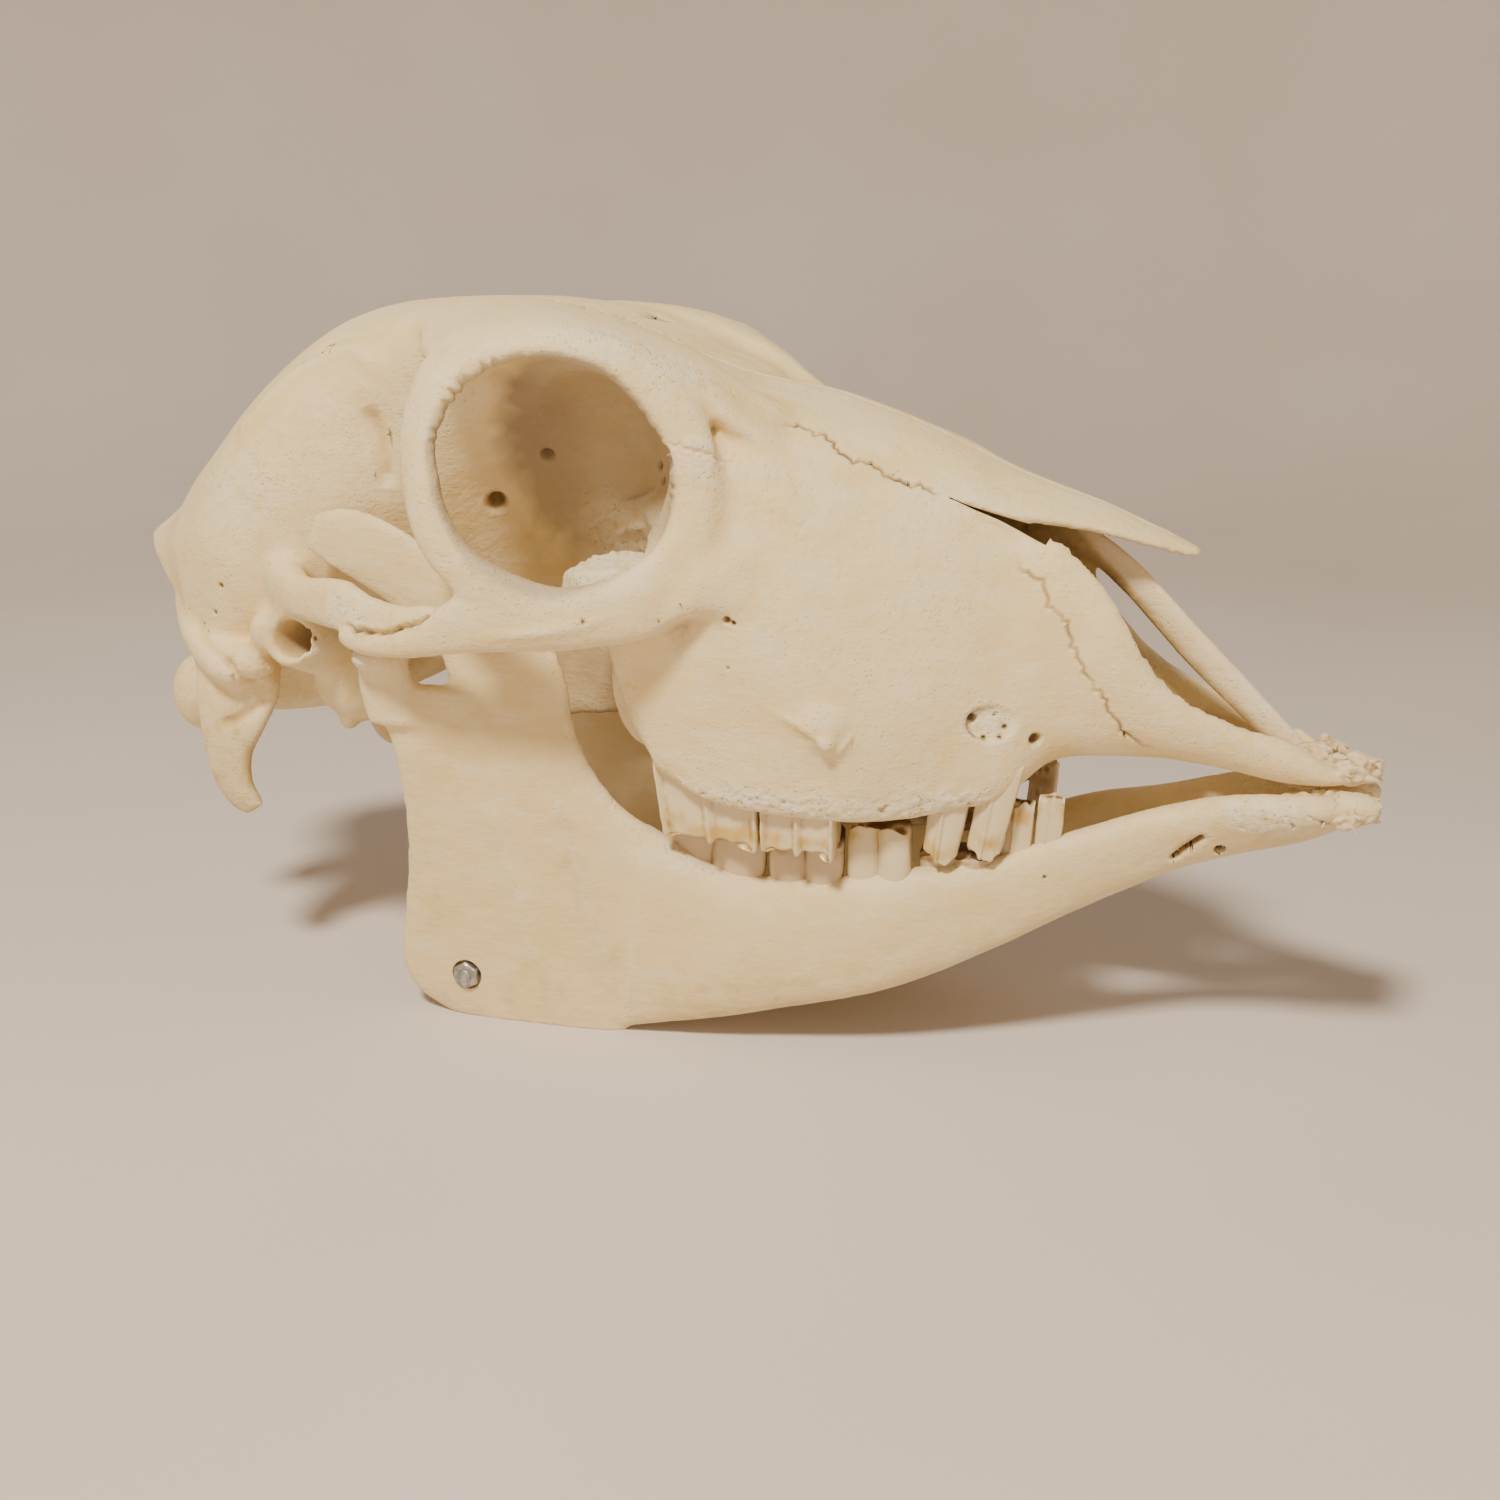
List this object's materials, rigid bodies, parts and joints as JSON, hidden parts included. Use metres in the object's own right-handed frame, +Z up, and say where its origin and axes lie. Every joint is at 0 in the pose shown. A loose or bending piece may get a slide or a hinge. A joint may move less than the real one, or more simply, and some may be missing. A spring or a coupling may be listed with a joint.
{
  "type": "sheep skull",
  "caption": "Dry, cleaned sheep skull resting on its two jaw halves, with cheek teeth in their sockets and a threaded rod through the jaw angles.",
  "frame": {"origin": "centre of the bounding box's footprint, on the ground the jaws rest on", "axes": "+X toward the snout, +Y toward the skull's own left side, +Z up"},
  "size_m": [0.2841, 0.1187, 0.1548],
  "materials": {
    "bone": "dry cream bone, slightly waxy, with ochre stains",
    "tooth": "worn cream enamel with yellow and brown stains",
    "steel": "dull zinc-plated steel"
  },
  "bodies": {
    "root": {"cranium": "bone", "mandible_right": "bone", "mandible_left": "bone", "upper_right_m3": "tooth", "upper_right_m2": "tooth", "upper_right_p3": "tooth", "upper_right_p2": "tooth", "upper_left_m3": "tooth", "upper_left_m2": "tooth", "upper_left_m1": "tooth", "upper_left_p4": "tooth", "upper_left_p3": "tooth", "upper_left_p2": "tooth", "lower_right_m3": "tooth", "lower_right_m2": "tooth", "lower_right_m1": "tooth", "lower_right_p4": "tooth", "lower_right_p3": "tooth", "lower_right_p2": "tooth", "lower_left_m3": "tooth", "lower_left_m2": "tooth", "lower_left_m1": "tooth", "lower_left_p4": "tooth", "lower_left_p3": "tooth", "jaw_rod": "steel", "nut_right": "steel", "nut_left": "steel"}
  },
  "joints": []
}
